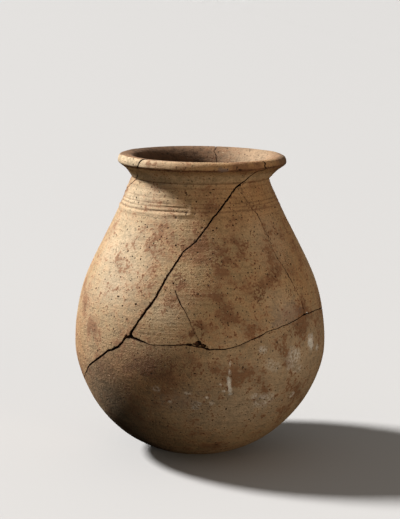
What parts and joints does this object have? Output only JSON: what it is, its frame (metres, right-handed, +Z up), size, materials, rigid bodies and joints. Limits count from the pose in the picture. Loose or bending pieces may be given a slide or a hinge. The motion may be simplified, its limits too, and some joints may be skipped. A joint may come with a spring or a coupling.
{
  "type": "pottery bottle",
  "caption": "Wheel-thrown earthenware bottle with a bag-shaped body, round base, flaring collar and thick rolled lip, mended from large sherds.",
  "frame": {"origin": "on the ground, under the middle of the belly", "axes": "+Z up through the mouth, -Y towards the front, where the sherds' joins meet in a fork"},
  "size_m": [0.1972, 0.1972, 0.2359],
  "materials": {
    "fired_clay": "matt, unglazed, warm buff with pinkish brown mottling, dark grit and white salt crusts"
  },
  "bodies": {
    "root": {"bottle": "fired_clay"}
  },
  "joints": []
}
